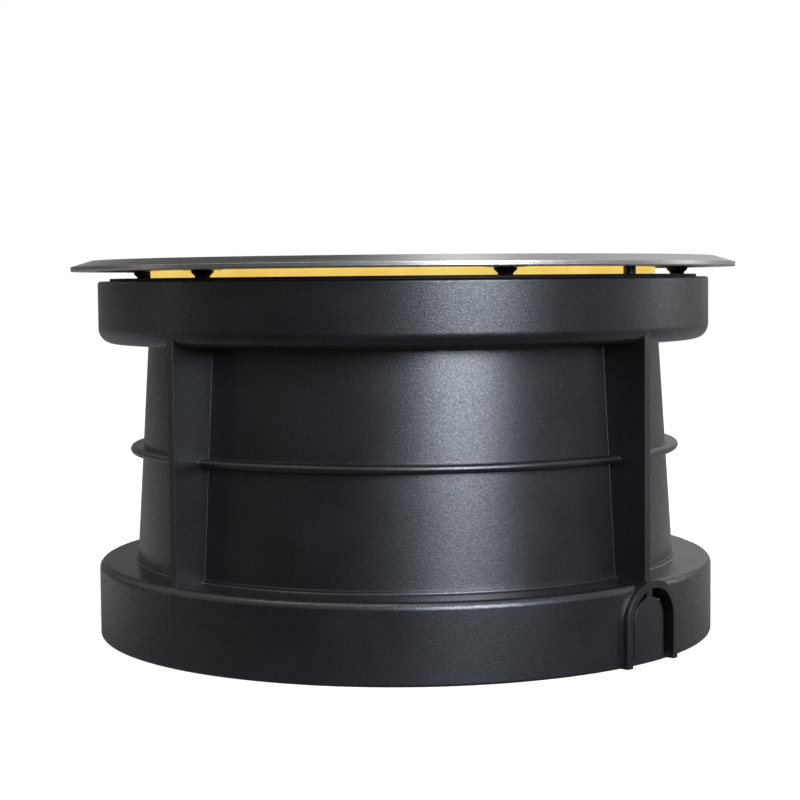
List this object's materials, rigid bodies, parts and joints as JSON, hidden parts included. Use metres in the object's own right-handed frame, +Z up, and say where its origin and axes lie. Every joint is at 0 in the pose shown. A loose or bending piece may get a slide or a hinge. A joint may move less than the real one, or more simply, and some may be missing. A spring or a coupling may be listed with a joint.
{
  "type": "in-ground well light",
  "caption": "Round in-ground well light: black ribbed plastic sleeve with a lift-out sealed lamp head, bevelled steel trim ring, yellow lens gasket and tilting light engine.",
  "frame": {"origin": "centre of the sleeve's bottom face, on the surface that it stands on", "axes": "+Z up along the sleeve's axis; -Y is the side that faces the camera in the picture, +X its right"},
  "size_m": [0.27, 0.27, 0.1511],
  "materials": {
    "sleeve_plastic": "black glass-filled plastic with a fine moulded grain",
    "black_rubber": "smooth black rubber",
    "brass": "turned brass",
    "ring_steel": "stainless steel, brushed round the ring",
    "screw_steel": "stainless steel",
    "black_screw": "black coated steel",
    "lens_glass": "clear toughened glass",
    "yellow_silicone": "translucent amber-yellow silicone",
    "housing_paint": "dark grey powder coat on die-cast aluminium",
    "bezel_black": "matt black",
    "engine_aluminium": "bare die-cast aluminium",
    "gimbal_steel": "dark grey zinc-plated and coated sheet steel",
    "board_white": "white solder mask on an aluminium board",
    "led_phosphor": "yellow phosphor under a clear dome",
    "optic_acrylic": "clear moulded acrylic",
    "driver_case": "off-white plastic",
    "terminal_plastic": "natural nylon",
    "lead_sleeve": "brown wire insulation",
    "gland_nylon": "black nylon"
  },
  "bodies": {
    "sleeve": {"mounting_sleeve": "sleeve_plastic", "sleeve_rim_gasket": "black_rubber", "sleeve_inserts": "brass"},
    "lamp_head": {"trim_ring": "ring_steel", "ring_screws": "screw_steel", "captive_washers": "black_rubber", "screw_grommets": "black_rubber", "jacking_screws": "black_screw", "lens_glass": "lens_glass", "lens_gasket": "yellow_silicone", "lamp_housing": "housing_paint", "clamp_screws": "screw_steel", "glare_bezel": "bezel_black", "turntable_clips": "gimbal_steel", "clip_screws": "screw_steel", "lead_grommet": "black_rubber", "led_driver": "driver_case", "driver_screws": "screw_steel", "terminal_block": "terminal_plastic", "terminal_screws": "screw_steel", "driver_leads": "lead_sleeve", "earth_screw": "screw_steel", "gear_cover": "housing_paint", "cover_gasket": "black_rubber", "cover_screws": "screw_steel", "vent_valve": "gland_nylon", "gland_body": "gland_nylon", "gland_locknut": "gland_nylon", "gland_seal": "black_rubber", "gland_nut": "gland_nylon"},
    "turntable": {"turntable": "gimbal_steel", "pivot_pins": "screw_steel"},
    "light_engine": {"heat_sink": "engine_aluminium", "tilt_lock_screw": "black_screw", "led_board": "board_white", "led_chips": "led_phosphor", "collimator_lenses": "optic_acrylic", "optic_holder": "bezel_black", "board_screws": "screw_steel"}
  },
  "joints": [
    {"name": "head_lift", "type": "slide", "parent": "sleeve", "child": "lamp_head", "axis": [0, 0, 1], "range_m": [0, 0.16]},
    {"name": "aim_turn", "type": "hinge", "parent": "lamp_head", "child": "turntable", "pos_m": [0, 0, 0.0732], "axis": [0, 0, 1], "range_deg": [-175, 175]},
    {"name": "aim_tilt", "type": "hinge", "parent": "turntable", "child": "light_engine", "pos_m": [0, 0, 0.1069], "axis": [1, 0, 0], "range_deg": [-15, 15]}
  ]
}
